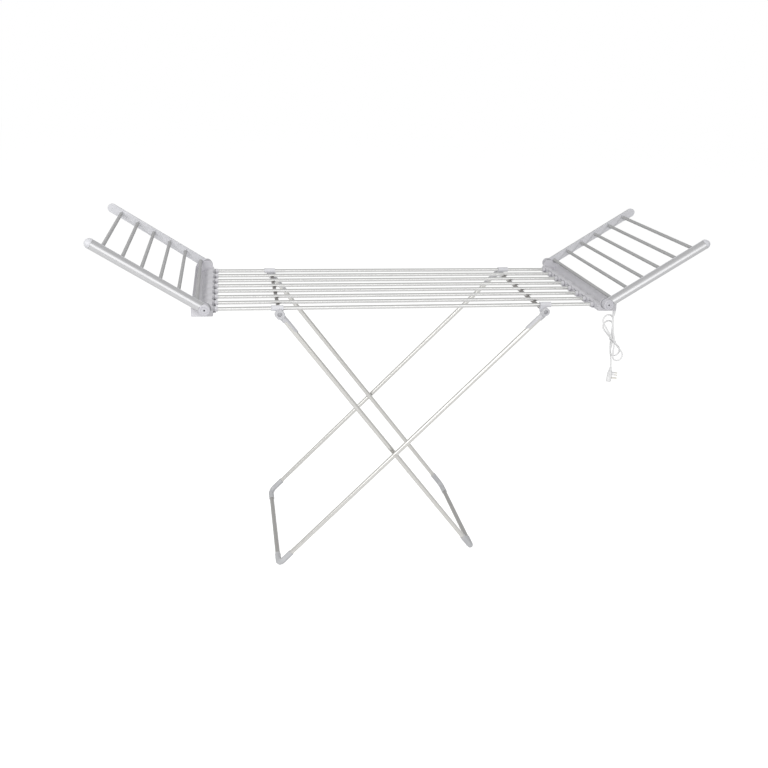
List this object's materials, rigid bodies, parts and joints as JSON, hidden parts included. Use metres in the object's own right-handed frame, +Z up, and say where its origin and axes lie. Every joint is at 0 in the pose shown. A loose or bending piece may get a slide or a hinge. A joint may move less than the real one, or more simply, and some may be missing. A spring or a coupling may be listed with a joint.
{
  "type": "heated clothes airer",
  "caption": "Folding heated clothes airer: a deck of parallel tubes between moulded ends, hinged wings of rungs, crossed tubular legs and a mains lead.",
  "frame": {"origin": "on the floor, at the middle of the airer's length and width", "axes": "+Z up, +X along the deck toward the end that the lead leaves, -Y the long side seen in the picture"},
  "size_m": [1.903, 0.561, 1.1351],
  "materials": {
    "deck_tube": "satin anodised tube",
    "wing_rail": "satin extrusion",
    "wing_rung": "matte grey tube",
    "leg_tube": "gloss silver lacquer on steel",
    "cross_rod": "dark steel",
    "housing_plastic": "moulded, fine texture",
    "liner_plastic": "moulded, smooth",
    "hinge_plastic": "moulded, fine texture",
    "bracket_plastic": "moulded, fine texture",
    "knuckle_plastic": "moulded, fine texture",
    "elbow_plastic": "moulded, fine texture",
    "mains_lead": "soft vinyl sheath",
    "plug": "moulded on",
    "heating_cable": "silicone sheath"
  },
  "bodies": {
    "deck": {"deck_bar_1": "deck_tube", "deck_bar_2": "deck_tube", "deck_bar_3": "deck_tube", "deck_bar_4": "deck_tube", "deck_bar_5": "deck_tube", "deck_bar_6": "deck_tube", "deck_bar_7": "deck_tube", "deck_bar_8": "deck_tube", "left_housing_tray": "housing_plastic", "left_housing_cover": "housing_plastic", "right_housing_tray": "housing_plastic", "right_housing_cover": "housing_plastic", "fixed_bracket_near": "bracket_plastic", "fixed_bracket_far": "bracket_plastic", "fixed_cross_rod": "cross_rod", "heating_cable": "heating_cable", "mains_cord": "mains_lead", "mains_cord_hank": "mains_lead", "mains_plug": "plug"},
    "leg_slider": {"sliding_bracket_near": "bracket_plastic", "sliding_bracket_far": "bracket_plastic", "sliding_cross_rod": "cross_rod"},
    "inner_leg_frame": {"inner_leg_near": "leg_tube", "inner_leg_far": "leg_tube", "inner_knuckle_near": "knuckle_plastic", "inner_knuckle_far": "knuckle_plastic", "inner_elbow_near": "elbow_plastic", "inner_elbow_far": "elbow_plastic", "inner_foot_tube": "leg_tube"},
    "outer_leg_frame": {"outer_leg_near": "leg_tube", "outer_leg_far": "leg_tube", "outer_knuckle_near": "knuckle_plastic", "outer_knuckle_far": "knuckle_plastic", "outer_elbow_near": "elbow_plastic", "outer_elbow_far": "elbow_plastic", "outer_foot_tube": "leg_tube"},
    "left_wing": {"left_wing_rail_near": "wing_rail", "left_wing_rail_far": "wing_rail", "left_wing_liner_near": "liner_plastic", "left_wing_liner_far": "liner_plastic", "left_wing_hinge_near": "hinge_plastic", "left_wing_hinge_far": "hinge_plastic", "left_wing_rung_1": "wing_rung", "left_wing_rung_2": "wing_rung", "left_wing_rung_3": "wing_rung", "left_wing_rung_4": "wing_rung", "left_wing_rung_5": "wing_rung", "left_wing_rung_6": "wing_rung"},
    "right_wing": {"right_wing_rail_near": "wing_rail", "right_wing_rail_far": "wing_rail", "right_wing_liner_near": "liner_plastic", "right_wing_liner_far": "liner_plastic", "right_wing_hinge_near": "hinge_plastic", "right_wing_hinge_far": "hinge_plastic", "right_wing_rung_1": "wing_rung", "right_wing_rung_2": "wing_rung", "right_wing_rung_3": "wing_rung", "right_wing_rung_4": "wing_rung", "right_wing_rung_5": "wing_rung", "right_wing_rung_6": "wing_rung"}
  },
  "joints": [
    {"name": "outer_leg_fold", "type": "hinge", "parent": "deck", "child": "outer_leg_frame", "pos_m": [0.4335, 0, 0.8975], "axis": [0, 1, 0], "range_deg": [0, 43.62]},
    {"name": "bracket_slide", "type": "slide", "parent": "deck", "child": "leg_slider", "axis": [1, 0, 0], "range_m": [0, 0.78212]},
    {"name": "inner_leg_fold", "type": "hinge", "parent": "leg_slider", "child": "inner_leg_frame", "pos_m": [-0.411, 0, 0.8975], "axis": [0, 1, 0], "range_deg": [0, 124.72]},
    {"name": "left_wing_fold", "type": "hinge", "parent": "deck", "child": "left_wing", "pos_m": [-0.6325, 0, 0.9264], "axis": [0, 1, 0], "range_deg": [0, 146]},
    {"name": "right_wing_fold", "type": "hinge", "parent": "deck", "child": "right_wing", "pos_m": [0.6325, 0, 0.9264], "axis": [0, -1, 0], "range_deg": [0, 146]}
  ],
  "couplings": [
    {"joint": "bracket_slide", "follows": "outer_leg_fold", "m_per_rad": 1.0274},
    {"joint": "inner_leg_fold", "follows": "outer_leg_fold", "ratio": 2.8595}
  ]
}
